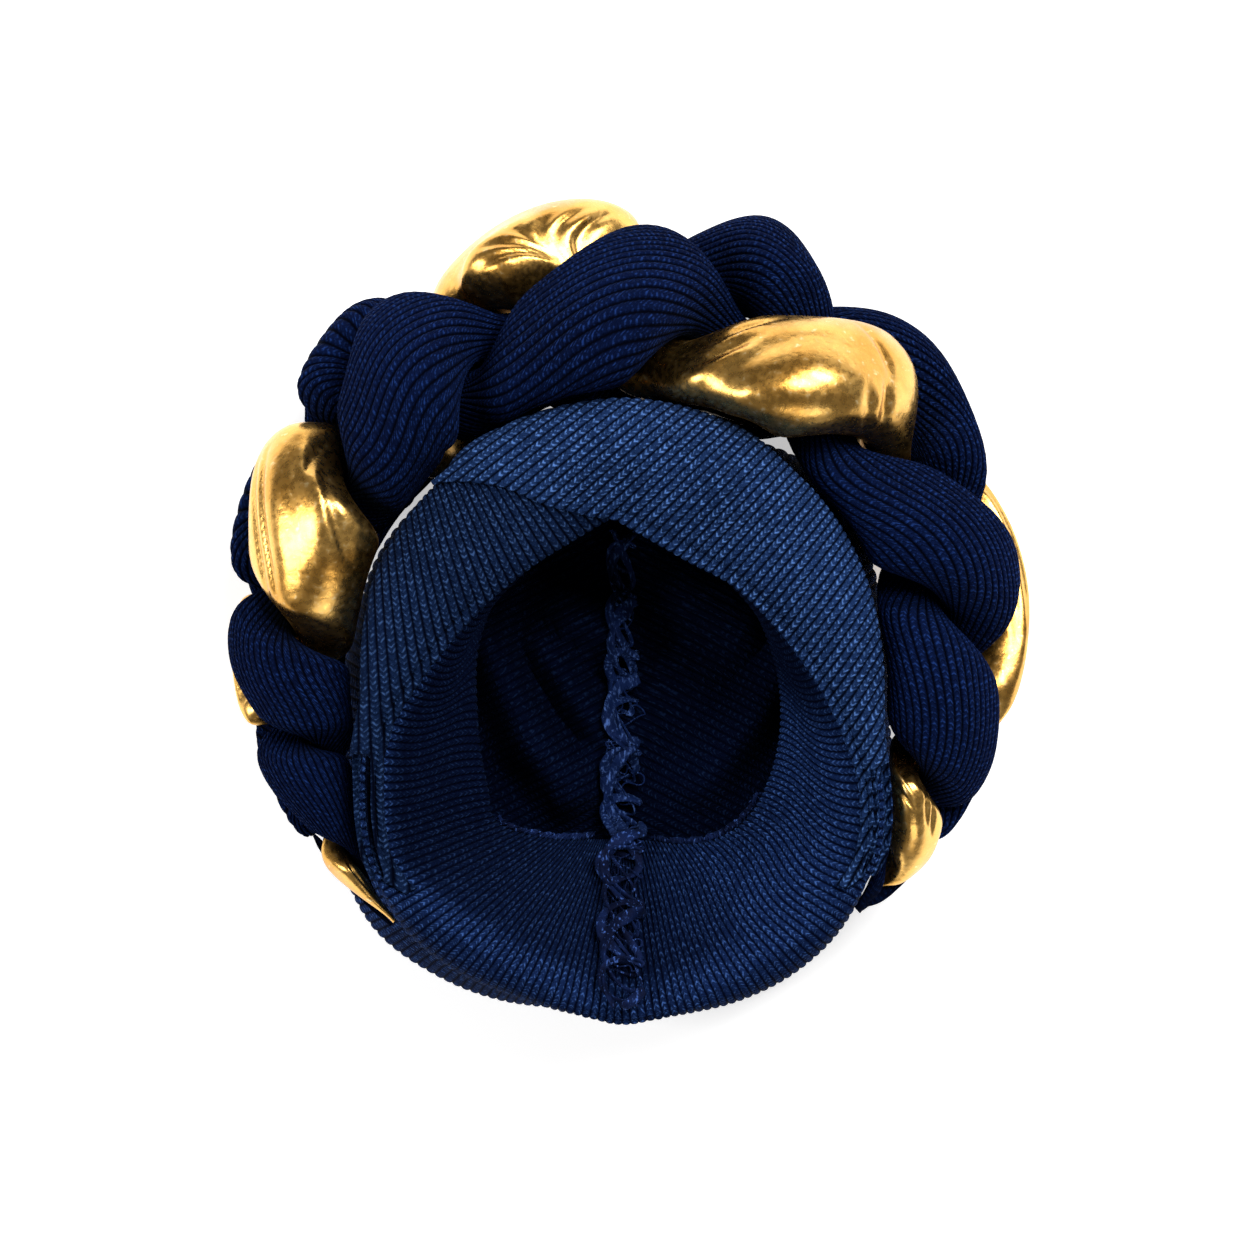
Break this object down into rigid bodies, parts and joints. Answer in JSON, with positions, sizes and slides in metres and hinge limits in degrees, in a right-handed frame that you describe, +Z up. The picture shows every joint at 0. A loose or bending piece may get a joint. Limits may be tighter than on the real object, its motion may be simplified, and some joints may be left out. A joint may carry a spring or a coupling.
{
  "type": "pre-tied turban headwrap",
  "caption": "Ribbed-knit pre-tied turban cap lying on its crown, crossed front bands and a thick stuffed three-strand plait with one metallic strand round the front",
  "frame": {"origin": "on the plane the turban rests on, under the middle of the head opening", "axes": "+Z up, out of the head opening; +Y towards the forehead side; +X to the right seen into the opening with the forehead side up"},
  "size_m": [0.2651, 0.2706, 0.0943],
  "materials": {
    "cap_knit": "fine ribbed navy knit, matte",
    "band_knit": "ribbed navy knit with a faint sheen",
    "strand_knit": "dark navy ribbed knit over soft stuffing",
    "gold_foil": "metallic gold foil-faced leatherette, glossy, softly creased",
    "seam_thread": "ruffled overlock thread and seam allowance, matte"
  },
  "bodies": {
    "root": {"cap": "cap_knit", "front_wrap_right": "band_knit", "front_wrap_left": "band_knit", "braid_strand_gold": "gold_foil", "braid_strand_navy_a": "strand_knit", "braid_strand_navy_b": "strand_knit", "back_seam": "seam_thread", "hem_seam_left": "seam_thread", "hem_seam_right": "seam_thread"}
  },
  "joints": []
}
